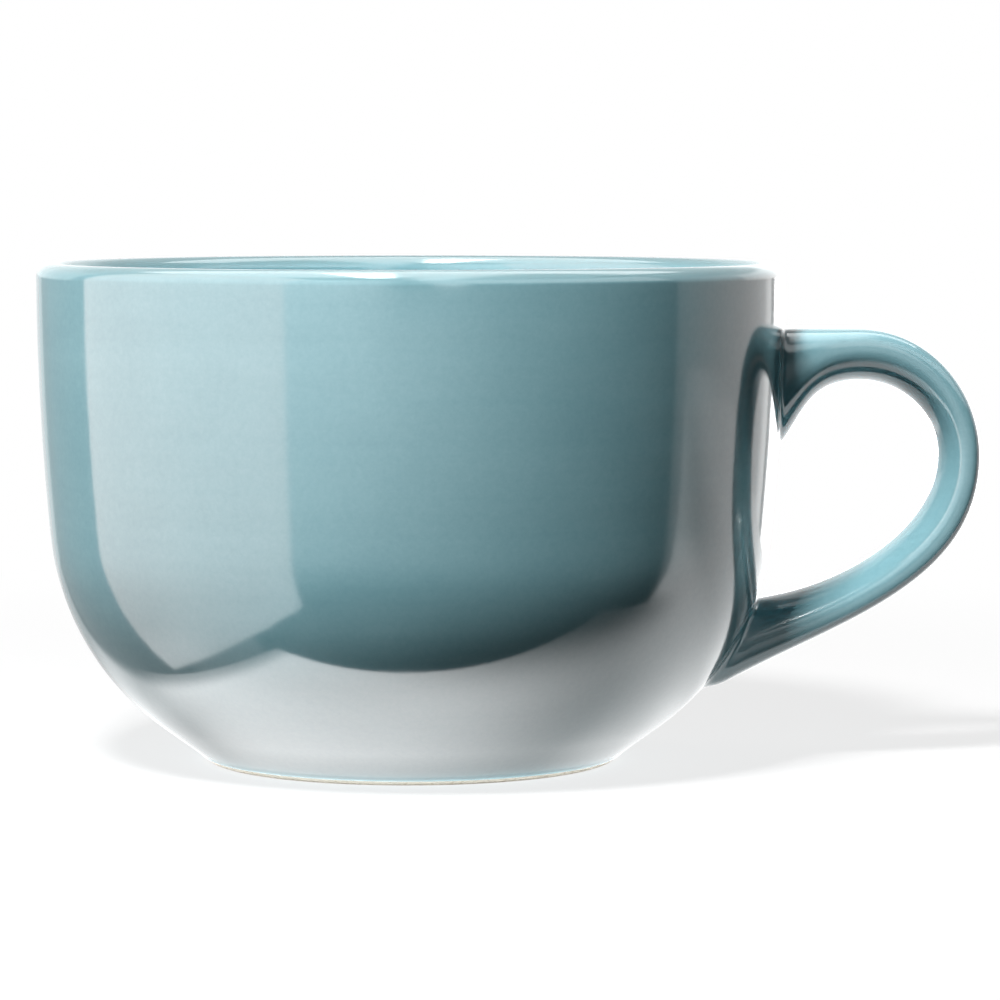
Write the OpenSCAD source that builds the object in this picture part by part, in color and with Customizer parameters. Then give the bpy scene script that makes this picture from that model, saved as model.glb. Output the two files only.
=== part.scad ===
// Wide soup mug: a stoneware bowl with an ear-shaped handle luted to its wall, glazed inside and out.
// The mug stands on z = 0, the bowl's axis is Z and the handle points along +X. Sizes are millimetres.

/* [Bowl] */
// Outside diameter at the rim, over the glaze
mug_d = 130; // [118:1:144]
// Height from the table to the top of the rim, over the glaze
mug_h = 86.8; // [78:0.2:98]
// Thickness of the clay wall
wall_t = 4.2; // [3:0.1:6]
// Thickness of the clay floor over the recess in the foot
floor_t = 4.4; // [3:0.1:6]
// Radius of the long bow of the upper wall, over the glaze
bow_r = 470; // [380:5:800]
// Radius of the belly, over the glaze
belly_r = 46.8; // [42:0.2:52]
// Slope of the belly's underside above the table, degrees
under_slope = 36.2; // [32:0.2:40]
// Radius that turns the inside of the wall into the floor, over the glaze
well_r = 36; // [30:0.5:40]

/* [Foot] */
// Outside diameter of the foot ring
foot_d = 72; // [62:0.5:80]
// Width of the foot ring
foot_w = 4.6; // [3:0.1:8]
// Height of the bare clay edge below the glaze line
foot_edge = 1; // [0.8:0.1:2]
// Rounding of the foot ring's two edges
foot_round = 0.8; // [0.2:0.1:1]
// Depth of the recess inside the foot ring
recess_h = 2.4; // [1.2:0.1:4]

/* [Coats] */
// Thickness of the fired glaze
glaze_t = 0.4; // [0.2:0.05:0.7]
// Thickness of the slip that lutes the handle to the wall
slip_t = 0.6; // [0.3:0.05:1]

/* [Handle] */
// Drop from the rim to the top of the handle
handle_drop = 11.4; // [8:0.2:18]
// Reach of the handle beyond the rim
handle_reach = 34; // [28:0.2:42]
// Distance from the rim out to the crown of the arch
crown_out = 13.2; // [11:0.2:16]
// Drop from the top of the handle to its outermost point
bend_drop = 22.2; // [18:0.2:25]
// Thickness of the strap at the crown, over the glaze
crown_t = 9.2; // [7:0.1:11]
// Thickness of the strap at the outermost point, over the glaze
bend_t = 7; // [6:0.1:9]
// Width of the strap at the outermost point, over the glaze
strap_w = 17; // [13:0.5:22]
// Width of the strap where it meets the wall, over the glaze
root_w = 19.5; // [15:0.5:25]
// Height of the upper joint on the wall
upper_joint_h = 21; // [17:0.2:24]
// Height above the table of the lower joint's lowest point
lower_joint_z = 12.8; // [10:0.2:15]
// Height of the lower joint on the wall
lower_joint_h = 15; // [12:0.2:18]
// Slope of the upper joint's web where it leaves the wall, degrees
web_slope = 50; // [42:1:65]
// Slope of the lower arm's underside at the wall, degrees
arm_under_slope = 29; // [22:1:34]
// Slope of the lower arm's top side at the wall, degrees
arm_top_slope = 11; // [5:1:22]
// Radius that rounds the toe of the lower arm's underside
toe_round = 7; // [3:0.5:10]

/* [Hidden] */

$fn = 96;
clay = "#e6d9c3";
slip = "#d8c9b0";
teal = "#7fa9b1";

// Steps along the bowl's arcs and around the strap's section
arc_steps = 24;
section_steps = 24;
// The strap's section is two half superellipses, each between an ellipse (2) and a rectangle. They meet
// where the strap is widest, a share of its half thickness outside its middle.
outer_power = 4;
inner_power = 2;
section_lean = 0.25;
// Length of each strap end that is hidden in the wall before it is cut to its seat
buried = 2.5;
// Extra length of a cutting strap, so that no end faces coincide
overcut = 0.5;

// The bowl's section: the rim's round, the wall's long bow, the belly's arc and the belly's underside
// follow one another as tangents, and the underside ends at the glaze line on the foot.
rim_r = mug_d / 2;
lip_r = wall_t / 2 + glaze_t;
lip_c = [rim_r - lip_r, mug_h - lip_r];
foot_r = foot_d / 2;
recess_r = foot_r - foot_w;
foot_corner = min(foot_round, foot_edge, foot_w / 2);
glaze_line = [foot_r, foot_edge];
under_a = 90 - under_slope;
under_n = [cos(under_a), -sin(under_a)];
bow_c = [rim_r - bow_r, lip_c[1]];
belly_a = under_a - acos((under_n * (glaze_line - bow_c) + glaze_t - belly_r) / (bow_r - belly_r));
belly_c = bow_c + (bow_r - belly_r) * [cos(belly_a), -sin(belly_a)];

// The inside follows the outside at the wall's thickness, then turns into a level floor.
inner_bow_r = bow_r - 2 * lip_r;
floor_z = recess_h + floor_t + glaze_t;
well_a = asin((lip_c[1] - floor_z - well_r) / (inner_bow_r - well_r));
well_c = bow_c + (inner_bow_r - well_r) * [cos(well_a), -sin(well_a)];

// Points on an arc about c, from angle a to angle b
function arc(c, r, a, b, steps = arc_steps) =
    [for (i = [0:steps]) let (t = a + (b - a) * i / steps) c + r * [cos(t), sin(t)]];

function reversed(list) = [for (i = [len(list) - 1:-1:0]) list[i]];

// Outside section from the glaze line up to the top of the rim, sunk by inset below the glazed face
function outside(inset) = concat(
    [glaze_line + (glaze_t - inset) * under_n],
    arc(belly_c, belly_r - inset, -under_a, -belly_a),
    arc(bow_c, bow_r - inset, -belly_a, 0),
    arc(lip_c, lip_r - inset, 0, 90)
);

// Inside section from the top of the rim down to the middle of the floor, sunk in the same way
function inside(inset) = concat(
    arc(lip_c, lip_r - inset, 90, 180),
    arc(bow_c, inner_bow_r + inset, 0, -well_a),
    arc(well_c, well_r + inset, -well_a, -90),
    [[0, floor_z - inset]]
);

// Glazed radius of the bowl's outside at height z
function wall_r(z) =
    z > belly_c[1] - belly_r * sin(belly_a) ? bow_c[0] + sqrt(pow(bow_r, 2) - pow(bow_c[1] - z, 2)) :
    z > belly_c[1] - belly_r * sin(under_a) ? belly_c[0] + sqrt(pow(belly_r, 2) - pow(belly_c[1] - z, 2)) :
    glaze_line[0] + glaze_t * under_n[0] + (z - glaze_line[1] - glaze_t * under_n[1]) / tan(under_slope);

// The strap lies between an outer and an inner edge in the plane of the handle. Each edge runs from the
// upper joint to the crown, round a quarter ellipse to the outermost point, along the arm, and over the
// toe to the lower joint.
crown_x = rim_r + crown_out;
bend_x = rim_r + handle_reach;
top_z = mug_h - handle_drop;
bend_z = top_z - bend_drop;
web_z = top_z - upper_joint_h;
crease_z = lower_joint_z + lower_joint_h;
parting_z = (web_z + crease_z) / 2;

upper_seat = [wall_r(top_z), top_z];
web_seat = [wall_r(web_z), web_z];
tip_seat = [wall_r(lower_joint_z), lower_joint_z];
crease_seat = [wall_r(crease_z), crease_z];
outer_crown = [crown_x, top_z];
inner_crown = [crown_x, top_z - crown_t];
outer_bend = [bend_x, bend_z];
inner_bend = [bend_x - bend_t, bend_z];

// The underside of the arm turns level over the toe, and its top side runs straight to the wall.
toe_run = toe_round * sin(arm_under_slope);
toe_start = tip_seat + [toe_run, toe_round * (1 - cos(arm_under_slope))];
crease_start = crease_seat + toe_run * heading(arm_top_slope);

// How far a curve's control arms reach, as shares of its width or its height
quarter = 0.552;
under_drop = 0.58;
top_drop = 0.52;
arm_run = 0.48;
web_rise = 0.6;
web_run = 0.64;

function heading(a) = [cos(a), sin(a)];

function bezier(p, t) =
    pow(1 - t, 3) * p[0] + 3 * t * pow(1 - t, 2) * p[1] + 3 * pow(t, 2) * (1 - t) * p[2] + pow(t, 3) * p[3];

function line(a, b) = [a, a + (b - a) / 3, b - (b - a) / 3, b];

// Web from the wall up to the crown, where it turns level
function web(start, crown) = [
    start,
    start + web_rise * (crown[1] - start[1]) * heading(web_slope),
    crown - [web_run * (crown[0] - start[0]), 0],
    crown
];

// Quarter ellipse from the crown to the outermost point
function bend(crown, end) = [
    crown,
    [crown[0] + quarter * (end[0] - crown[0]), crown[1]],
    [end[0], end[1] + quarter * (crown[1] - end[1])],
    end
];

// Arm from the outermost point down to its end, where it arrives at the given slope
function arm(start, end, slope, drop) = [
    start,
    start - [0, drop * (start[1] - end[1])],
    end + arm_run * (start[0] - end[0]) * heading(slope),
    end
];

// Round of the toe, from the arm's slope to level
function toe(start, end) = [
    start,
    start - toe_run / 3 * heading(arm_under_slope),
    end + [toe_run / 3, 0],
    end
];

outer_edge = [
    line(upper_seat, outer_crown),
    bend(outer_crown, outer_bend),
    arm(outer_bend, toe_start, arm_under_slope, under_drop),
    toe(toe_start, tip_seat)
];
inner_edge = [
    web(web_seat, inner_crown),
    bend(inner_crown, inner_bend),
    arm(inner_bend, crease_start, arm_top_slope, top_drop),
    line(crease_start, crease_seat)
];

// Steps along each stretch of the strap
strap_steps = [10, 12, 14, 3];

// Width of the strap at share t of stretch k: it narrows from the upper joint to the crown, and widens
// again along the arm.
function width(k, t) =
    k == 0 ? strap_w + (root_w - strap_w) * pow(1 - t, 2) :
    k == 1 ? strap_w :
    k == 2 ? strap_w + (root_w - strap_w) * pow(t, 2) :
    root_w;

// Stations along the strap, each with its outer point, inner point and width
function strap_stations(hidden_end) = concat(
    [[upper_seat - [hidden_end, 0], web_seat - hidden_end * heading(web_slope), root_w]],
    [for (k = [0:len(strap_steps) - 1]) for (i = [k == 0 ? 0 : 1:strap_steps[k]])
        let (t = i / strap_steps[k]) [bezier(outer_edge[k], t), bezier(inner_edge[k], t), width(k, t)]],
    [[tip_seat - [hidden_end, 0], crease_seat - hidden_end * heading(arm_top_slope), root_w]]
);

function signed_power(v, p) = sign(v) * pow(abs(v), p);

// One closed section of the strap, sunk by inset below the glazed face
function section(station, inset) =
    let (mid = (station[0] + station[1]) / 2,
         across = (station[0] - station[1]) / norm(station[0] - station[1]),
         half_t = norm(station[0] - station[1]) / 2 - inset,
         half_w = station[2] / 2 - inset)
    [for (j = [0:section_steps - 1])
        let (a = 360 * j / section_steps,
             power = 2 / (cos(a) > 0 ? outer_power : inner_power),
             out = signed_power(cos(a), power),
             edge = mid + half_t * (section_lean + (1 - sign(out) * section_lean) * out) * across)
        [edge[0], half_w * signed_power(sin(a), power), edge[1]]];

// The strap as a solid whose ends are buried in the wall
module strap(inset, hidden_end = buried) {
    stations = strap_stations(hidden_end);
    n = section_steps;
    last = len(stations) - 1;
    sides = [for (i = [0:last - 1]) for (j = [0:n - 1])
        let (a = i * n + j, b = i * n + (j + 1) % n)
        each [[a, b, b + n], [a, b + n, a + n]]];
    caps = [[for (j = [n - 1:-1:0]) j], [for (j = [0:n - 1]) last * n + j]];
    polyhedron([for (s = stations) each section(s, inset)], concat(sides, caps));
}

// The bowl's outside as a full body, sunk by inset below the glazed face
module blank(inset) {
    rotate_extrude()
        polygon(concat([[0, foot_edge]], outside(inset), [[0, mug_h - inset]]));
}

// A layer of slip under one end of the strap, between two heights
module slip_pad(low, high) {
    intersection() {
        strap(glaze_t);
        difference() {
            blank(glaze_t - slip_t);
            blank(glaze_t);
        }
        translate([0, -root_w, low])
            cube([mug_d, 2 * root_w, high - low]);
    }
}

module bowl() {
    color(clay) rotate_extrude()
        polygon(concat(
            [[0, recess_h], [recess_r, recess_h]],
            arc([recess_r, 0] + foot_corner * [1, 1], foot_corner, 180, 270),
            arc([foot_r, 0] + foot_corner * [-1, 1], foot_corner, 270, 360),
            outside(glaze_t),
            inside(glaze_t)
        ));
}

module handle() {
    color(clay) difference() {
        strap(glaze_t);
        blank(glaze_t - slip_t);
    }
}

module upper_slip_joint() {
    color(slip) slip_pad(parting_z, mug_h);
}

module lower_slip_joint() {
    color(slip) slip_pad(0, parting_z);
}

module outer_glaze() {
    color(teal) difference() {
        rotate_extrude() polygon(concat(outside(0), reversed(outside(glaze_t))));
        strap(0);
    }
}

module liner_glaze() {
    color(teal) rotate_extrude() polygon(concat(inside(0), reversed(inside(glaze_t))));
}

module base_glaze() {
    color(teal) translate([0, 0, recess_h - glaze_t]) cylinder(r = recess_r, h = glaze_t);
}

module handle_glaze() {
    color(teal) difference() {
        strap(0);
        strap(glaze_t, buried + overcut);
        blank(glaze_t);
    }
}

bowl();
handle();
upper_slip_joint();
lower_slip_joint();
outer_glaze();
liner_glaze();
base_glaze();
handle_glaze();
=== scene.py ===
"""A wide soup mug in glossy teal stoneware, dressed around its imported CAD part.

Lengths are metres in the part's own frame: the mug stands on z = 0, the bowl's axis is Z and the handle
points along +X. Angles are degrees until Blender needs them.
"""
import math

import bpy
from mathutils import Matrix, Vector


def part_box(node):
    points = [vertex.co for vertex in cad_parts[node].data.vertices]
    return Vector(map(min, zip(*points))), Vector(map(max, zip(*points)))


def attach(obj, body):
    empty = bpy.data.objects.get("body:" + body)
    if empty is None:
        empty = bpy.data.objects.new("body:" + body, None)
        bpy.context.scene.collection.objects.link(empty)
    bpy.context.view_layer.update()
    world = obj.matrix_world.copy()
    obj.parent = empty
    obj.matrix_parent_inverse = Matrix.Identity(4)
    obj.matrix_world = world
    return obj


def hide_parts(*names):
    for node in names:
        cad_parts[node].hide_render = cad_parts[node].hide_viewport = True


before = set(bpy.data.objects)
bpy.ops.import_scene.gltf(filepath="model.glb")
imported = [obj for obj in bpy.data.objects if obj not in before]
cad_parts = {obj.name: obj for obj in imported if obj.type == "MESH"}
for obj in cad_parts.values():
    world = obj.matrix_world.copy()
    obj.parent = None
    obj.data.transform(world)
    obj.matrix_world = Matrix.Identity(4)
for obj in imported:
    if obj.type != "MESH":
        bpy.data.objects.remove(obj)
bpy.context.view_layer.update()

MM = 0.001

# Bowl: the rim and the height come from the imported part, the rest repeats the part's source.
RIM_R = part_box("outer_glaze")[1].y
MUG_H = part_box("liner_glaze")[1].z
WALL_T = 4.2 * MM
FLOOR_T = 4.4 * MM
BOW_R = 470 * MM
BELLY_R = 46.8 * MM
UNDER_SLOPE = 36.2
WELL_R = 36 * MM
GLAZE_T = 0.4 * MM

# Foot ring
FOOT_R = 36 * MM
FOOT_W = 4.6 * MM
FOOT_EDGE = 1 * MM
FOOT_ROUND = 0.8 * MM
RECESS_H = 2.4 * MM
RECESS_ROUND = 0.7 * MM

# Handle
BEND_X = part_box("handle_glaze")[1].x
CROWN_X = RIM_R + 13.2 * MM
TOP_Z = MUG_H - 11.4 * MM
BEND_Z = TOP_Z - 22.2 * MM
CROWN_T = 9.2 * MM
BEND_T = 7 * MM
STRAP_W = 17 * MM
ROOT_W = 19.5 * MM
WEB_Z = TOP_Z - 21 * MM
TIP_Z = 12.8 * MM
CREASE_Z = TIP_Z + 15 * MM
WEB_SLOPE = 50
ARM_UNDER_SLOPE = 29
ARM_TOP_SLOPE = 11
TOE_ROUND = 7 * MM
OUTER_POWER = 4
INNER_POWER = 2
SECTION_LEAN = 0.25
BURIED = 2.5 * MM
ROOT_FILLET = 1.3 * MM
EDGE_SUNK = 0.25 * MM

# How far the control arms of the strap's edge curves reach, as in the part's source
QUARTER = 0.552
UNDER_DROP = 0.58
TOP_DROP = 0.52
ARM_RUN = 0.48
WEB_RISE = 0.6
WEB_RUN = 0.64

# Rounded bead at the lower edge of the outer coat
BEAD_RISE = 0.12 * MM
BEAD_REACH = 1.4 * MM

# Shallow rings left by throwing, which fade in above the belly's underside and out below the lip
RING_DEPTH = 0.012 * MM
RING_PITCH = 7.3 * MM
RING_SHARE = 0.6
RING_OVERTONE = 2.55
RING_START_Z = 20 * MM
RING_FADE_IN = 25 * MM
RING_FADE_OUT = 9 * MM

# Edge of the base patch, where the glaze creeps a little down the foot ring's inner side
CREEP_ROUND = 0.9 * MM
CREEP_DROP = 0.4 * MM
CREEP_A = 32

# Fineness of the meshes. The strap's steps run to the crown, round the bend, down the arm and to the toe.
SPIN_STEPS = 240
FOOT_STEPS = 10
BEAD_STEPS = 8
SWELL_STEPS = 6
CREEP_STEPS = 8
STRAP_ROUND = 72
STRAP_ROWS = 96
STRAP_STEPS = (40, 48, 56, 12)
STRAP_CLAY_STEPS = (8, 10, 12, 2)
FILLET_ROWS = 8
CREASE_ANGLE = 35
MERGE_GAP = 0.0005 * MM


def sind(a):
    return math.sin(math.radians(a))


def cosd(a):
    return math.cos(math.radians(a))


def heading(a):
    """Unit vector in the plane of a section, a degrees above level."""
    return Vector((cosd(a), sind(a)))


# The bowl's section in (radius, height): the lip's round, the wall's long bow, the belly's arc and the
# belly's underside follow one another as tangents.
LIP_R = WALL_T / 2 + GLAZE_T
LIP_C = Vector((RIM_R - LIP_R, MUG_H - LIP_R))
BOW_C = Vector((RIM_R - BOW_R, LIP_C.y))
UNDER_A = 90 - UNDER_SLOPE
UNDER_N = heading(-UNDER_A)
UNDER_T = heading(UNDER_SLOPE)
GLAZE_LINE = Vector((FOOT_R, FOOT_EDGE))
BELLY_A = UNDER_A - math.degrees(math.acos(
    (UNDER_N.dot(GLAZE_LINE - BOW_C) + GLAZE_T - BELLY_R) / (BOW_R - BELLY_R)))
BELLY_C = BOW_C + (BOW_R - BELLY_R) * heading(-BELLY_A)
INNER_BOW_R = BOW_R - 2 * LIP_R
FLOOR_Z = RECESS_H + FLOOR_T + GLAZE_T
WELL_A = math.degrees(math.asin((LIP_C.y - FLOOR_Z - WELL_R) / (INNER_BOW_R - WELL_R)))
WELL_C = BOW_C + (INNER_BOW_R - WELL_R) * heading(-WELL_A)
RECESS_R = FOOT_R - FOOT_W


def arc(centre, radius, start, end, steps):
    """Points on an arc of a section, from one angle to another."""
    return [centre + radius * heading(start + (end - start) * i / steps) for i in range(steps + 1)]


def lip(inset, start, end, steps=16, sliver=0.3):
    """Half of the lip's round. A sliver of a step at the crown keeps both halves level where they meet."""
    near = end - sliver if end == 90 else end
    off = start + sliver if start == 90 else start
    points = arc(LIP_C, LIP_R - inset, off, near, steps)
    crown = [LIP_C + Vector((0, LIP_R - inset))]
    return points + crown if end == 90 else crown + points


def outer_wall(inset, belly_steps=44, bow_steps=40):
    """Outside of the bowl above the foot, from the underside's end up to the crown of the lip."""
    return (arc(BELLY_C, BELLY_R - inset, -UNDER_A, -BELLY_A, belly_steps)
            + arc(BOW_C, BOW_R - inset, -BELLY_A, 0, bow_steps)[1:]
            + lip(inset, 0, 90)[1:])


def inner_wall(inset, bow_steps=30, well_steps=44):
    """Inside of the bowl, from the crown of the lip down to the edge of the level floor."""
    return (lip(inset, 90, 180)
            + arc(BOW_C, INNER_BOW_R + inset, 0, -WELL_A, bow_steps)[1:]
            + arc(WELL_C, WELL_R + inset, -WELL_A, -90, well_steps)[1:])


def level(start_r, end_r, z, steps):
    """Points along a level stretch of a section."""
    return [Vector((start_r + (end_r - start_r) * i / steps, z)) for i in range(steps + 1)]


def thrown(points):
    """The same outside wall with the shallow rings that the potter's fingers leave, sunk into it."""
    ringed = []
    for p in points:
        fade_in = max(0, (p.y - RING_START_Z) / RING_FADE_IN)
        fade_out = max(0, (LIP_C.y - p.y) / RING_FADE_OUT)
        turn = 2 * math.pi * p.y / RING_PITCH
        wave = RING_SHARE * math.sin(turn) + (1 - RING_SHARE) * math.sin(RING_OVERTONE * turn)
        ringed.append(p - Vector((RING_DEPTH * min(1, fade_in, fade_out) * (1 + wave), 0)))
    return ringed


def deselect():
    if bpy.context.object and bpy.context.object.mode != "OBJECT":
        bpy.ops.object.mode_set(mode="OBJECT")
    bpy.ops.object.select_all(action="DESELECT")


def smoothed(name):
    """Closes and smooths the mesh that is being edited, and names its object."""
    bpy.ops.mesh.select_all(action="SELECT")
    bpy.ops.mesh.remove_doubles(threshold=MERGE_GAP)
    bpy.ops.mesh.normals_make_consistent(inside=False)
    bpy.ops.object.mode_set(mode="OBJECT")
    bpy.ops.object.shade_smooth_by_angle(angle=math.radians(CREASE_ANGLE))
    piece = bpy.context.object
    piece.name = piece.data.name = name
    return piece


def drawn(points):
    """Starts a mesh with a line drawn from point to point, and leaves it selected in edit mode."""
    deselect()
    bpy.ops.mesh.primitive_plane_add(size=MM)
    bpy.ops.object.mode_set(mode="EDIT")
    bpy.ops.mesh.merge(type="CENTER")
    bpy.ops.transform.translate(value=points[0])
    for here, there in zip(points, points[1:]):
        bpy.ops.mesh.extrude_vertices_move(TRANSFORM_OT_translate={"value": there - here})
    bpy.ops.mesh.select_all(action="SELECT")


def turned(name, outline):
    """A piece turned on the bowl's axis: its outline is drawn and spun round once."""
    drawn([Vector((p.x, 0, p.y)) for p in outline])
    bpy.ops.mesh.spin(steps=SPIN_STEPS, angle=2 * math.pi, center=(0, 0, 0), axis=(0, 0, 1))
    return smoothed(name)


def dressed(piece, slot, *nodes):
    """A finished piece rides on the mug's one body, and the CAD nodes that it takes the place of are hidden.
    """
    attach(piece, "root")
    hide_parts(*nodes)


# Clay bowl: only the foot ring shows, between the glaze line and the glazed recess.
clay_bowl = turned("clay_bowl", (
    level(0, RECESS_R - RECESS_ROUND, RECESS_H, steps=6)
    + arc(Vector((RECESS_R - RECESS_ROUND, RECESS_H - RECESS_ROUND)), RECESS_ROUND, 90, 0, FOOT_STEPS)[1:]
    + arc(Vector((RECESS_R + FOOT_ROUND, FOOT_ROUND)), FOOT_ROUND, 180, 270, FOOT_STEPS)
    + arc(Vector((FOOT_R - FOOT_ROUND, FOOT_ROUND)), FOOT_ROUND, 270, 360, FOOT_STEPS)
    + [GLAZE_LINE]
    + outer_wall(GLAZE_T, belly_steps=30, bow_steps=16)
    + inner_wall(GLAZE_T, bow_steps=16, well_steps=24)[1:]
    + [Vector((0, FLOOR_Z - GLAZE_T))]
))
dressed(clay_bowl, "clay", "bowl")


def glaze_bead():
    """Lower edge of the outer coat: a quarter round at the glaze line, and a swell that runs out above."""
    thick = GLAZE_T + BEAD_RISE
    points = []
    for i in range(BEAD_STEPS + 1):
        turn = 90 * i / BEAD_STEPS
        points.append(GLAZE_LINE + thick * (sind(turn) * UNDER_N + (1 - cosd(turn)) * UNDER_T))
    for i in range(1, SWELL_STEPS + 1):
        share = i / SWELL_STEPS
        swell = BEAD_RISE * (1 + math.cos(math.pi * share)) / 2
        points.append(GLAZE_LINE + (GLAZE_T + swell) * UNDER_N + (thick + BEAD_REACH * share) * UNDER_T)
    return points


# Outer coat: it starts in a rounded bead at the glaze line and ends at the crown of the lip.
outer_coat = turned("outer_coat", (
    glaze_bead() + thrown(outer_wall(0))
    + outer_wall(GLAZE_T, belly_steps=24, bow_steps=12)[::-1] + [GLAZE_LINE]
))
dressed(outer_coat, "teal_glaze", "outer_glaze")

# Liner: the poured coat of the inside, from the crown of the lip to the middle of the floor.
liner_coat = turned("liner_coat", (
    inner_wall(0) + level(WELL_C.x, 0, FLOOR_Z, steps=8)[1:]
    + level(0, WELL_C.x, FLOOR_Z - GLAZE_T, steps=4)
    + inner_wall(GLAZE_T, bow_steps=12, well_steps=20)[::-1][1:]
))
dressed(liner_coat, "liner_glaze", "liner_glaze")

# Base patch: the glaze in the recess of the foot
PATCH_Z = RECESS_H - GLAZE_T
CREEP_R = RECESS_R - CREEP_ROUND
base_coat = turned("base_coat", (
    level(0, RECESS_R, RECESS_H, steps=3)
    + [Vector((RECESS_R, PATCH_Z - CREEP_DROP))]
    + arc(Vector((CREEP_R, PATCH_Z - CREEP_ROUND)), CREEP_ROUND, CREEP_A, 90, CREEP_STEPS)
    + level(CREEP_R, 0, PATCH_Z, steps=8)[1:]
))
dressed(base_coat, "teal_glaze", "base_glaze")


# The strap's outer and inner edge in the plane of the handle, in (x, z), as in the part's source
def wall_r(z):
    """Glazed radius of the bowl's outside at height z."""
    if z > BELLY_C.y - BELLY_R * sind(BELLY_A):
        return BOW_C.x + math.sqrt(BOW_R ** 2 - (BOW_C.y - z) ** 2)
    if z > BELLY_C.y - BELLY_R * sind(UNDER_A):
        return BELLY_C.x + math.sqrt(BELLY_R ** 2 - (BELLY_C.y - z) ** 2)
    return GLAZE_LINE.x + GLAZE_T * UNDER_N.x + (z - GLAZE_LINE.y - GLAZE_T * UNDER_N.y) / math.tan(
        math.radians(UNDER_SLOPE))


def bezier(p, t):
    """Point at share t of a stretch, which is a curve's four control points."""
    return (1 - t) ** 3 * p[0] + 3 * t * (1 - t) ** 2 * p[1] + 3 * t ** 2 * (1 - t) * p[2] + t ** 3 * p[3]


def line(a, b):
    """Straight stretch from one point to another."""
    return [a, a.lerp(b, 1 / 3), a.lerp(b, 2 / 3), b]


def bend(crown, end):
    """Quarter ellipse from the crown to the outermost point."""
    return [crown, Vector((crown.x + QUARTER * (end.x - crown.x), crown.y)),
            Vector((end.x, end.y + QUARTER * (crown.y - end.y))), end]


def arm(start, end, slope, drop):
    """From the outermost point down to the arm's end, where it arrives at the given slope."""
    return [start, start - Vector((0, drop * (start.y - end.y))),
            end + ARM_RUN * (start.x - end.x) * heading(slope), end]


upper_seat, web_seat, tip_seat, crease_seat = (
    Vector((wall_r(z), z)) for z in (TOP_Z, WEB_Z, TIP_Z, CREASE_Z))
outer_crown, inner_crown = Vector((CROWN_X, TOP_Z)), Vector((CROWN_X, TOP_Z - CROWN_T))
outer_bend, inner_bend = Vector((BEND_X, BEND_Z)), Vector((BEND_X - BEND_T, BEND_Z))
toe_run = TOE_ROUND * sind(ARM_UNDER_SLOPE)
toe_start = tip_seat + Vector((toe_run, TOE_ROUND * (1 - cosd(ARM_UNDER_SLOPE))))
crease_start = crease_seat + toe_run * heading(ARM_TOP_SLOPE)

OUTER_EDGE = [
    line(upper_seat, outer_crown),
    bend(outer_crown, outer_bend),
    arm(outer_bend, toe_start, ARM_UNDER_SLOPE, UNDER_DROP),
    [toe_start, toe_start - toe_run / 3 * heading(ARM_UNDER_SLOPE),
     tip_seat + Vector((toe_run / 3, 0)), tip_seat],
]
INNER_EDGE = [
    [web_seat, web_seat + WEB_RISE * (inner_crown.y - WEB_Z) * heading(WEB_SLOPE),
     inner_crown - Vector((WEB_RUN * (inner_crown.x - web_seat.x), 0)), inner_crown],
    bend(inner_crown, inner_bend),
    arm(inner_bend, crease_start, ARM_TOP_SLOPE, TOP_DROP),
    line(crease_start, crease_seat),
]


def strap_width(stretch, t):
    """Width of the strap: it narrows from the upper joint to the crown and widens again along the arm."""
    spread = ((1 - t) ** 2, 0, t ** 2, 1)[stretch]
    return STRAP_W + (ROOT_W - STRAP_W) * spread


def stations(steps):
    """Stations along the strap with buried ends, each an outer point, an inner point and a width."""
    found = [(upper_seat - Vector((BURIED, 0)), web_seat - BURIED * heading(WEB_SLOPE), ROOT_W)]
    for k, count in enumerate(steps):
        for i in range(0 if k == 0 else 1, count + 1):
            t = i / count
            found.append((bezier(OUTER_EDGE[k], t), bezier(INNER_EDGE[k], t), strap_width(k, t)))
    found.append((tip_seat - Vector((BURIED, 0)), crease_seat - BURIED * heading(ARM_TOP_SLOPE), ROOT_W))
    return found


def signed_power(v, p):
    return math.copysign(abs(v) ** p, v)


def rounded(a):
    """Point of the section at angle a, as shares of the half thickness and the half width."""
    power = 2 / (OUTER_POWER if cosd(a) > 0 else INNER_POWER)
    out = signed_power(cosd(a), power)
    thick = SECTION_LEAN + (1 - math.copysign(SECTION_LEAN, out)) * out
    return thick, signed_power(sind(a), power)


def even_angles(count, aspect=2.1, tries=21600):
    """Angles whose points lie evenly spaced round a section that is aspect times as wide as it is thick."""
    fine = [360 * i / tries for i in range(tries + 1)]
    points = [Vector((rounded(a)[0], aspect * rounded(a)[1])) for a in fine]
    run = [0]
    for p, q in zip(points, points[1:]):
        run.append(run[-1] + (q - p).length)
    found, i = [], 0
    for j in range(count):
        while run[i + 1] < run[-1] * j / count:
            i += 1
        found.append(fine[i])
    return found


SECTION_ANGLES = even_angles(STRAP_ROUND)


def section(station, inset):
    """One closed section of the strap, sunk by inset below the glazed face."""
    outer, inner, width = station
    middle, across = (outer + inner) / 2, (outer - inner).normalized()
    half_t, half_w = (outer - inner).length / 2 - inset, width / 2 - inset
    ring = []
    for a in SECTION_ANGLES:
        thick, wide = rounded(a)
        edge = middle + half_t * thick * across
        ring.append(Vector((edge.x, half_w * wide, edge.y)))
    return ring


def above_wall(p):
    """Distance of a point outside the glazed wall, measured level."""
    return math.hypot(p.x, p.y) - wall_r(p.z)


def on_wall(p, lift=0):
    """The point moved level onto the glazed wall, or a little above or below it."""
    share = (wall_r(p.z) + lift) / math.hypot(p.x, p.y)
    return Vector((p.x * share, p.y * share, p.z))


def wall_normal(p):
    """Outward normal of the glazed wall at a point on it."""
    rise = 0.05 * MM
    lean = (wall_r(p.z + rise) - wall_r(p.z - rise)) / (2 * rise)
    out = Vector((p.x, p.y, 0)).normalized()
    return (out - Vector((0, 0, lean))).normalized()


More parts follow.
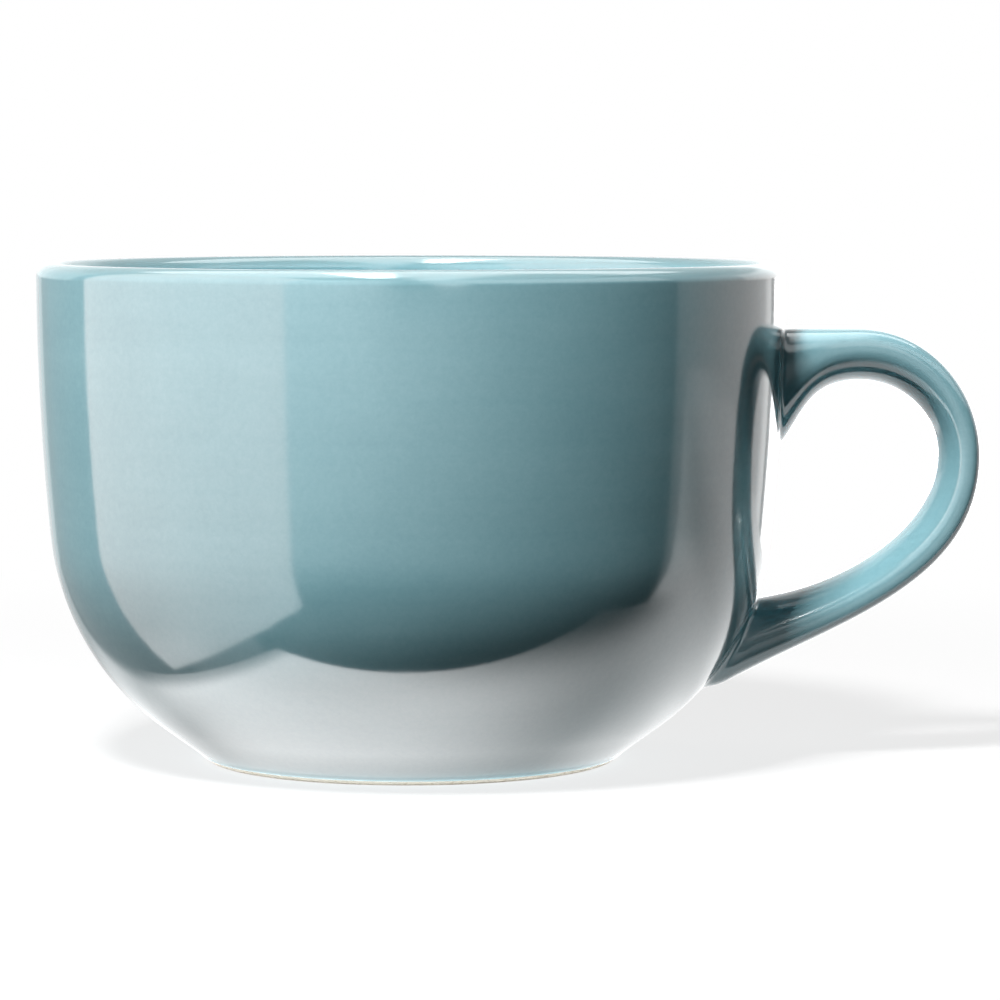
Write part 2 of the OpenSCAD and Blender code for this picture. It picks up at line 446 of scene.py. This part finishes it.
class Strand:
    """One line along the strap, from joint to joint, measured by its length."""

    def __init__(self, points):
        self.points = points
        self.run = [0]
        for p, q in zip(points, points[1:]):
            self.run.append(self.run[-1] + (q - p).length)

    def at(self, s):
        i = 0
        while i < len(self.run) - 2 and self.run[i + 1] < s:
            i += 1
        return self.points[i].lerp(self.points[i + 1], (s - self.run[i]) / (self.run[i + 1] - self.run[i]))

    def crossings(self):
        """Lengths at which the line leaves the wall and enters it again."""
        gaps = [above_wall(p) for p in self.points]
        marks = []
        for i, (a, b) in enumerate(zip(gaps, gaps[1:])):
            if (a <= 0) != (b <= 0):
                marks.append(self.run[i] + (self.run[i + 1] - self.run[i]) * a / (a - b))
        return marks[0], marks[-1]


def fillet(starts, corners):
    """Rows of a rounded corner that runs from the strap's points out onto the wall."""
    count = len(corners)
    centre = sum(corners, Vector()) / count
    rows = [[] for _ in range(FILLET_ROWS)]
    for j, (start, corner) in enumerate(zip(starts, corners)):
        along = corners[(j + 1) % count] - corners[j - 1]
        out = wall_normal(corner).cross(along).normalized()
        if out.dot(corner - centre) < 0:
            out.negate()
        foot = on_wall(corner + ROOT_FILLET * out)
        for i, row in enumerate(rows):
            t = (i + 1) / FILLET_ROWS
            p = (1 - t) ** 2 * start + 2 * t * (1 - t) * corner + t ** 2 * foot
            row.append(p if above_wall(p) >= 0 else on_wall(p))
    return rows


def rolled(name, rows):
    """A grid whose rows are closed rings, rolled up and joined end to end into one closed coat."""
    deselect()
    count = len(rows[0])
    bpy.ops.mesh.primitive_grid_add(x_subdivisions=count, y_subdivisions=len(rows), size=MM)
    flat = bpy.context.object.data.vertices
    for i in range(len(rows) + 1):
        for j in range(count + 1):
            flat[i * (count + 1) + j].co = rows[i % len(rows)][j % count]
    bpy.ops.object.mode_set(mode="EDIT")
    return smoothed(name)


# Coat of the handle: along the strap, out onto the wall at both joints, and back along the clay
fine_rings = [section(s, 0) for s in stations(STRAP_STEPS)]
strands = [Strand([ring[j] for ring in fine_rings]) for j in range(STRAP_ROUND)]
spans = [strand.crossings() for strand in strands]
strap_rows = []
for i in range(STRAP_ROWS + 1):
    share = i / STRAP_ROWS
    strap_rows.append([
        strand.at(a + ROOT_FILLET + share * (b - a - 2 * ROOT_FILLET))
        for strand, (a, b) in zip(strands, spans)])
upper_fillet = fillet(strap_rows[0], [strand.at(a) for strand, (a, b) in zip(strands, spans)])
lower_fillet = fillet(strap_rows[-1], [strand.at(b) for strand, (a, b) in zip(strands, spans)])
clay_rings = [section(s, GLAZE_T) for s in stations(STRAP_CLAY_STEPS)]
handle_coat = rolled("handle_coat", (
    upper_fillet[::-1] + strap_rows + lower_fillet
    + [[on_wall(p, -EDGE_SUNK) for p in lower_fillet[-1]]]
    + clay_rings[::-1]
    + [[on_wall(p, -EDGE_SUNK) for p in upper_fillet[-1]]]
))
dressed(handle_coat, "teal_glaze", "handle_glaze")


class Wire:
    """A shader value: one output socket, whose operators add Math nodes to its material's tree."""

    def __init__(self, tree, socket=None):
        self.tree = tree
        self.socket = socket

    def node(self, kind, settings, sockets, output=0):
        """Adds a node, sets its settings, then fills or links its sockets, and returns one output."""
        made = self.tree.nodes.new(kind)
        for name, value in settings.items():
            setattr(made, name, value)
        for name, value in sockets.items():
            if isinstance(value, Wire):
                value.into(made.inputs[name])
            else:
                made.inputs[name].default_value = value
        return Wire(self.tree, made.outputs[output])

    def into(self, socket):
        """Links this value to a node's socket."""
        self.tree.links.new(self.socket, socket)

    def beside(self, name):
        """Another output of the node that this value comes from."""
        return Wire(self.tree, self.socket.node.outputs[name])

    def maths(self, operation, *values):
        return self.node("ShaderNodeMath", {"operation": operation}, dict(enumerate(values)))

    def __add__(self, other):
        return self.maths("ADD", self, other)

    def __radd__(self, other):
        return self.maths("ADD", other, self)

    def __sub__(self, other):
        return self.maths("SUBTRACT", self, other)

    def __rsub__(self, other):
        return self.maths("SUBTRACT", other, self)

    def __mul__(self, other):
        return self.maths("MULTIPLY", self, other)

    def __rmul__(self, other):
        return self.maths("MULTIPLY", other, self)

    def sine(self):
        return self.maths("SINE", self)

    def rise(self, low, high):
        """0 below low, 1 above high, and a smooth slope between."""
        return self.node("ShaderNodeMapRange", {"interpolation_type": "SMOOTHSTEP"},
                         {"Value": self, "From Min": low, "From Max": high})

    def fall(self, low, high):
        """1 below low, 0 above high, and a smooth slope between."""
        return 1 - self.rise(low, high)

    def place(self):
        """Object coordinates in this tree: metres in the part's frame."""
        return self.node("ShaderNodeTexCoord", {}, {}, "Object")

    def axes(self):
        """The x, y and z of this place."""
        split = self.node("ShaderNodeSeparateXYZ", {}, {0: self})
        return [split.beside(axis) for axis in "XYZ"]

    def length(self):
        """Distance of this place from the origin."""
        return self.node("ShaderNodeVectorMath", {"operation": "LENGTH"}, {0: self}, "Value")

    def stretched(self, factors):
        """This place with each axis times its own factor."""
        return self.node("ShaderNodeVectorMath", {"operation": "MULTIPLY"}, {0: self, 1: factors})

    def scaled(self, amount):
        """This colour times a single value."""
        return self.node("ShaderNodeVectorMath", {"operation": "SCALE"}, {0: self, "Scale": amount})

    def noise(self, size, detail, roughness):
        """Noise round 0 whose features are about size metres across, at this place."""
        return self.node("ShaderNodeTexNoise", {"noise_dimensions": "3D"},
                         {"Vector": self, "Scale": 1 / size, "Detail": detail, "Roughness": roughness},
                         "Fac") - 0.5

    def blend(self, a, b):
        """Colour a where this mask is 0, colour b where it is 1."""
        return self.node("ShaderNodeMix", {"data_type": "RGBA"}, {0: self, 6: a, 7: b}, 2)

    def bumped(self, strength, distance):
        """The surface's normal, with this value as a relief of about this height."""
        return self.node("ShaderNodeBump", {}, {"Strength": strength, "Distance": distance, "Height": self})


def colour(red, green, blue):
    """A linear colour from the 0 to 255 values that a screen shows."""
    def linear(v):
        v /= 255
        return v / 12.92 if v <= 0.04045 else ((v + 0.055) / 1.055) ** 2.4
    return (linear(red), linear(green), linear(blue), 1)


def new_material(name):
    """A material, its Principled shader, and a wire into its tree."""
    material = bpy.data.materials.new(name)
    material.use_nodes = True
    return material, material.node_tree.nodes["Principled BSDF"], Wire(material.node_tree)


def paint(piece, material):
    piece.data.materials.clear()
    piece.data.materials.append(material)


# Glaze: sizes of its patterns, and heights between which its lip and its foot line change colour
CLOUD_SIZE = 14 * MM
MOTTLE_SIZE = 1.1 * MM
FLECK_SIZE = 0.45 * MM
BAND_SIZE = 4.5 * MM
BAND_STRETCH = (0.05, 0.05, 1)
RIPPLE_SIZE = 2.6 * MM
RIPPLE_HEIGHT = 0.08 * MM
LIP_COLOUR_FROM_Z = MUG_H - 2.4 * MM
LIP_COLOUR_TO_Z = MUG_H - 0.3 * MM
POOL_FROM_Z = FOOT_EDGE + 0.2 * MM
POOL_TO_Z = FOOT_EDGE + 1.1 * MM
GLAZE_IOR = 1.52


def glaze(name, body, deep, lip_thinned_and_shaded):
    """Glossy glaze: clouded and mottled, deeper at the foot line, and on the lip greyer for its thinner
    glaze and darker as painted shade.
    """
    material, shader, wire = new_material(name)
    place = wire.place()
    height = place.axes()[2]
    clouds = place.noise(CLOUD_SIZE, 2, 0.5)
    mottle = place.noise(MOTTLE_SIZE, 3, 0.6)
    flecks = place.noise(FLECK_SIZE, 1, 0.5)
    bands = place.stretched(BAND_STRETCH).noise(BAND_SIZE, 3, 0.6)

    tone = 0.5 + clouds * 0.5 + mottle * 0.5 + bands * 0.45 + flecks * 0.25
    # Painted shade: the lip's greyer colour stands for its thinner glaze, and is also darkened to offset the
    # bright reflections that the lip catches.
    thin_shaded_lip = height.rise(LIP_COLOUR_FROM_Z, LIP_COLOUR_TO_Z) * (0.85 + mottle * 0.5)
    pooled = height.fall(POOL_FROM_Z, POOL_TO_Z) * 0.35
    base = tone.blend(deep, body)
    base = thin_shaded_lip.blend(base, lip_thinned_and_shaded)
    pooled.blend(base, deep).into(shader.inputs["Base Color"])

    sheen = 0.095 + clouds * 0.03 + mottle * 0.025
    sheen.into(shader.inputs["Roughness"])
    ripple = place.noise(RIPPLE_SIZE, 1, 0.4) + flecks * 0.12
    ripple.bumped(0.06, RIPPLE_HEIGHT).into(shader.inputs["Normal"])
    shader.inputs["IOR"].default_value = GLAZE_IOR
    return material


# Bare clay: sizes of its patterns
GRAIN_SIZE = 0.5 * MM
GRAIN_HEIGHT = 0.12 * MM
PATCH_SIZE = 6 * MM
SPECK_SIZE = 0.9 * MM
TURNING_PITCH = 0.55 * MM
LEVEL = (1, 1, 0)


def bare_clay(name, body, deep):
    """Unglazed stoneware: fine grain, faint turning lines and small dark specks."""
    material, shader, wire = new_material(name)
    place = wire.place()
    grain = place.noise(GRAIN_SIZE, 3, 0.65)
    patches = place.noise(PATCH_SIZE, 2, 0.5)
    specks = place.noise(SPECK_SIZE, 0, 0.5).rise(0.17, 0.24)
    radius = place.stretched(LEVEL).length()
    turning = (radius * (2 * math.pi / TURNING_PITCH)).sine()

    tone = 0.6 + grain * 0.7 + patches * 0.6 - specks * 0.5
    tone.blend(deep, body).into(shader.inputs["Base Color"])
    rough = 0.82 + grain * 0.15
    rough.into(shader.inputs["Roughness"])
    relief = grain + turning * 0.12
    relief.bumped(0.35, GRAIN_HEIGHT).into(shader.inputs["Normal"])
    return material


# The lip's grey is partly its thinner glaze and partly painted shade against the lip's bright reflections.
LIP_GREY_SHADED = colour(114, 141, 145)
teal_glaze = glaze("teal_glaze", body=colour(138, 180, 188), deep=colour(112, 158, 168), lip_thinned_and_shaded=LIP_GREY_SHADED)
liner_glaze = glaze("liner_glaze", body=colour(142, 184, 192), deep=colour(116, 162, 172), lip_thinned_and_shaded=LIP_GREY_SHADED)
clay = bare_clay("clay", body=colour(244, 239, 226), deep=colour(216, 206, 186))
slip = bare_clay("slip", body=colour(216, 204, 184), deep=colour(182, 166, 142))
for piece, material in ((outer_coat, teal_glaze), (handle_coat, teal_glaze), (base_coat, teal_glaze),
                        (liner_coat, liner_glaze), (clay_bowl, clay)):
    paint(piece, material)
for node, material in (("handle", clay), ("upper_slip_joint", slip), ("lower_slip_joint", slip)):
    paint(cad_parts[node], material)

# Studio: a white floor, soft lamps, and cards that only the glaze's reflections see
STAGE_R = 0.9
WHITE = (1, 1, 1, 1)
WARM_WHITE = (1, 0.82, 0.77, 1)


def glowing(name, glow):
    """A studio surface that glows at one level, or as a function of its place says."""
    material = bpy.data.materials.new(name)
    material.use_nodes = True
    tree = material.node_tree
    tree.nodes.clear()
    wire = Wire(tree)
    shade = glow(*wire.place().axes()) if callable(glow) else (glow, glow, glow, 1)
    light = wire.node("ShaderNodeEmission", {}, {"Color": shade})
    light.into(tree.nodes.new("ShaderNodeOutputMaterial").inputs["Surface"])
    return material


def card(name, points, sweep, glow):
    """A card swept from a row of points, which shows in glossy reflections and nowhere else."""
    drawn(points)
    bpy.ops.mesh.extrude_edges_move(TRANSFORM_OT_translate={"value": sweep})
    made = smoothed(name)
    paint(made, glowing(name, glow))
    made.visible_camera = made.visible_diffuse = made.visible_shadow = made.visible_transmission = False
    return made


def around(start, end, bottom, steps=24):
    """Points round the mug at the stage's radius, in degrees to the right of the camera."""
    return [Vector((STAGE_R * sind(a), -STAGE_R * cosd(a), bottom))
            for a in (start + (end - start) * i / steps for i in range(steps + 1))]


def panel_glow(x, y, z):
    """The left panel is warm above, dimmer and white towards its foot, and lighter in its low far corner."""
    corner = 1.2 * (z.fall(-0.36, -0.24) * y.rise(-0.12, 0.04))
    glow = (4.5 + 1.3 * z.rise(-0.22, 0.03) + corner) * (1 - 0.3 * y.rise(-0.15, 0.2))
    return z.rise(-0.42, -0.12).blend(WHITE, WARM_WHITE).scaled(glow)


def front_veil(x, y, z):
    """The front of the room is dim: lighter at the left, and on a patch and high up at the right."""
    left = 3.9 * (x.fall(-0.6, 0.8) * z.rise(-0.4, 0.1))
    middle = 1 - 0.75 * (x.rise(-0.15, 0) * z.rise(0, 0.1))
    high = z.rise(0.27, 0.37)
    patch = 3.2 * ((x.rise(0.1, 0.16) - x.rise(0.22, 0.3)) * (z.rise(0.05, 0.13) - high))
    return left * middle + patch + 2.8 * (high * x.rise(0, 0.15))


def ceiling_glow(x, y, z):
    """The ceiling is dark in front: at the right in front of the mug's middle, at the left further away."""
    right = x.rise(0.12, 0.3) * y.fall(0, 0.15)
    left = x.fall(-0.05, 0.1) * y.fall(-0.5, -0.28)
    return 5.6 * ((1 - 0.8 * right) * (1 - 0.9 * left))


def side_glow(x, y, z):
    """The right panel is darker along its near edge and lighter along its far edge."""
    return 0.8 + 0.55 * y.rise(-0.07, 0.12) + 0.45 * y.rise(0.05, 0.35) + 0.7 * y.rise(0.63, 0.68)


def back_veil(x, y, z):
    """The back of the room is dim, and lighter low down at the right."""
    return 1.4 + 1.4 * (x.rise(0.1, 0.3) * z.fall(0.36, 0.46))


def table_spot(x, y, z):
    """The table is lightest in front of the mug and to its left, and dark at its right front corner."""
    ahead = -1 * y - 0.2 * x
    spot = 7.6 * (ahead.rise(24 * MM, 58 * MM) * x.fall(-5 * MM, 80 * MM))
    left = 1.4 * (x.fall(-60 * MM, -40 * MM) * y.fall(-25 * MM, -2 * MM))
    right = (1.05 - 0.85 * y.rise(-25 * MM, 15 * MM)) * x.rise(20 * MM, 70 * MM)

    # Painted shadow: a dim band across the table's right front corner.
    corner = 0.88 * ((0.35 * x - y).rise(58 * MM, 92 * MM) * x.fall(90 * MM, 130 * MM))
    back_left = 0.58 * (y.rise(-5 * MM, 70 * MM) * x.fall(-40 * MM, 0))
    back_right = 0.35 * (y.rise(-10 * MM, 30 * MM) * (x.rise(0, 40 * MM) - x.rise(55 * MM, 80 * MM)))
    # Painted shadow: the table is darker close to the foot at its sides and back, where the mug shades it.
    under = 0.25 * (y.rise(-28 * MM, -8 * MM) * (x * x + y * y).fall((38 * MM) ** 2, (55 * MM) ** 2))
    edge = 0.35 + 0.65 * (0.9 * x + 0.43 * y).rise(-65 * MM, -58 * MM)
    far = 1 - 0.35 * (x.rise(0.2, 0.3) * y.fall(-0.02, 0.1))
    shade = (1 - corner) * (1 - back_left - back_right) * (1 - under)
    return (2 + left + right + spot) * (shade * edge * far)


# Left panel: half a metre away, along the camera's view, and reaching below the level of the table
PANEL_OUT = 0.5
PANEL_AZIMUTH = -85
PANEL_ENDS = (-0.235, 0.59)
PANEL_BOTTOM = -0.43
PANEL_HEIGHT = 1.23
panel_out = PANEL_OUT * Vector((sind(PANEL_AZIMUTH), -cosd(PANEL_AZIMUTH)))
panel_along = Vector((cosd(PANEL_AZIMUTH), sind(PANEL_AZIMUTH)))
panel_foot = [Vector((*(panel_out + along * panel_along), PANEL_BOTTOM)) for along in PANEL_ENDS]
card("left_panel", panel_foot, (0, 0, PANEL_HEIGHT), panel_glow)

# Cards that stand round the mug: start and end in degrees to the right of the camera, bottom, height, glow
STANDING_CARDS = {
    "left_flag": (-150, -100, -1.2, 1.7, 0.55),
    "front_flag": (-60, 86, -1.6, 2.4, front_veil),
    "right_panel": (86, 142, -0.3, 0.8, side_glow),
    "right_glow": (146, 190, -1.2, 1.3, 6),
    "back_flag": (120, 240, 0.1, 0.45, back_veil),
}
for name, (start, end, bottom, height, glow) in STANDING_CARDS.items():
    card(name, around(start, end, bottom), (0, 0, height), glow)

# Ceiling: from the front of the stage to behind the mug
CEILING_Z = 0.8
CEILING_ENDS = (-0.6, 0.6)
CEILING_DEPTH = 1.4
ceiling_front = [Vector((x, -STAGE_R, CEILING_Z)) for x in CEILING_ENDS]
card("ceiling", ceiling_front, (0, CEILING_DEPTH, 0), ceiling_glow)

# Table under the mug, in millimetres: its front edge curves back at the right, and its left edge slants.
TABLE_FRONT = ((-40, -68), (80, -68), (92, -57), (104, -47), (310, -31), (850, 0))
TABLE_Z = -0.2
TABLE_SWEEP = (-0.13, 0.27, 0)
card("table_glow", [Vector((x, y, TABLE_Z)) * MM for x, y in TABLE_FRONT], TABLE_SWEEP, table_spot)

# Light from the table onto the mug, most of it from the left: ends, front and depth in millimetres, glow
BOUNCES = {
    "bounce": ((-80, 120), -68, 130, 0.2),
    "left_bounce": ((-260, -20), -200, 140, 0.7),
    "far_bounce": ((-330, -110), -220, 260, 0.9),
}
BOUNCE_Z = -0.1
for name, (ends, front, depth, glow) in BOUNCES.items():
    bounce = card(name, [Vector((x, front, BOUNCE_Z)) * MM for x in ends], (0, depth * MM, 0), glow)
    bounce.visible_glossy = False
    bounce.visible_diffuse = True

# Ring of light from the table onto the bare clay of the foot, in millimetres
FOOT_BOUNCE_R = (36.3, 37.6)
FOOT_BOUNCE_GLOW = 3.1
foot_bounce = turned("foot_bounce", [Vector((r, BOUNCE_Z)) * MM for r in FOOT_BOUNCE_R])
paint(foot_bounce, glowing("foot_bounce", FOOT_BOUNCE_GLOW))
foot_bounce.visible_camera = foot_bounce.visible_glossy = foot_bounce.visible_shadow = False

# Floor: all white far from the mug, and nearer to it a part of it is lit and takes the mug's shadow.
FLOOR_SIZE = 6
FLOOR_COLOUR = (0.9, 0.9, 0.9, 1)
WHITE_NEAR = 0.8
WHITE_FROM = 0.1
WHITE_TO = 0.35
deselect()
bpy.ops.mesh.primitive_plane_add(size=FLOOR_SIZE)
floor = bpy.context.object
floor.name = "floor"
floor.visible_glossy = floor.visible_diffuse = False
floor_material, floor_shader, floor_wire = new_material("floor")
floor_shader.inputs["Base Color"].default_value = FLOOR_COLOUR
floor_shader.inputs["Roughness"].default_value = 1
floor_shader.inputs["Specular IOR Level"].default_value = 0
white_share = WHITE_NEAR + (1 - WHITE_NEAR) * floor_wire.place().length().rise(WHITE_FROM, WHITE_TO)
lit = Wire(floor_wire.tree, floor_shader.outputs[0])
white = floor_wire.node("ShaderNodeEmission", {}, {"Strength": 1})
floor_surface = floor_wire.node("ShaderNodeMixShader", {}, {0: white_share, 1: lit, 2: white})
floor_surface.into(floor_wire.tree.nodes["Material Output"].inputs["Surface"])
paint(floor, floor_material)


def lamp(name, place, turn, width, depth, power):
    """A soft rectangular lamp, which unturned shines straight down."""
    light = bpy.data.lights.new(name, "AREA")
    light.shape = "RECTANGLE"
    light.size, light.size_y, light.energy = width, depth, power
    made = bpy.data.objects.new(name, light)
    bpy.context.scene.collection.objects.link(made)
    made.location = place
    made.rotation_euler = turn
    made.visible_camera = False
    return made


def aimed(azimuth, elevation, distance):
    """Place and turn of a lamp on the mug, by degrees to the right of the camera and above level."""
    away = Vector((cosd(elevation) * sind(azimuth), -cosd(elevation) * cosd(azimuth), sind(elevation)))
    return Vector((0, 0, MUG_H / 2)) + distance * away, away.to_track_quat("Z", "Y").to_euler()


# The key and the side lamp light the surfaces, and the glint shows only as the highlights on the glaze.
GLINT_AT = (-0.085, -0.17, 0.69)
STRAIGHT_DOWN = (0, 0, 0)
lamp("key", *aimed(-22.5, 55, 0.75), width=0.14, depth=0.14, power=9.3).visible_glossy = False
lamp("side", *aimed(-128, 4, 1.1), width=0.3, depth=0.3, power=7.4).visible_glossy = False
lamp("glint", GLINT_AT, STRAIGHT_DOWN, width=0.1, depth=0.55, power=5).visible_diffuse = False

# White surroundings for the camera and in reflections, and a little fill
FILL = 0.014
world = bpy.data.worlds.new("studio")
bpy.context.scene.world = world
world.use_nodes = True
background = world.node_tree.nodes["Background"]
camera_ray = Wire(world.node_tree).node("ShaderNodeLightPath", {}, {}, "Is Camera Ray")
seen = camera_ray + camera_ray.beside("Is Glossy Ray") + camera_ray.beside("Is Transmission Ray")
strength = seen * (1 - FILL) + FILL
strength.into(background.inputs["Strength"])
background.inputs["Color"].default_value = WHITE

# Camera at the photograph's viewing angle
CAMERA_AT = Vector((15.51, -720, 101.47)) * MM
CAMERA_DOWN = 4.47
SENSOR_WIDTH = 36
LENS_TO_WIDTH = 4.1243
CLIP_START = 0.01
camera_data = bpy.data.cameras.new("camera")
camera_data.sensor_width = SENSOR_WIDTH
camera_data.lens = SENSOR_WIDTH * LENS_TO_WIDTH
camera_data.clip_start = CLIP_START
camera = bpy.data.objects.new("camera", camera_data)
bpy.context.scene.collection.objects.link(camera)
camera.location = CAMERA_AT
camera.rotation_euler = (math.radians(90 - CAMERA_DOWN), 0, 0)
bpy.context.scene.camera = camera

bpy.context.scene.view_settings.view_transform = "Standard"
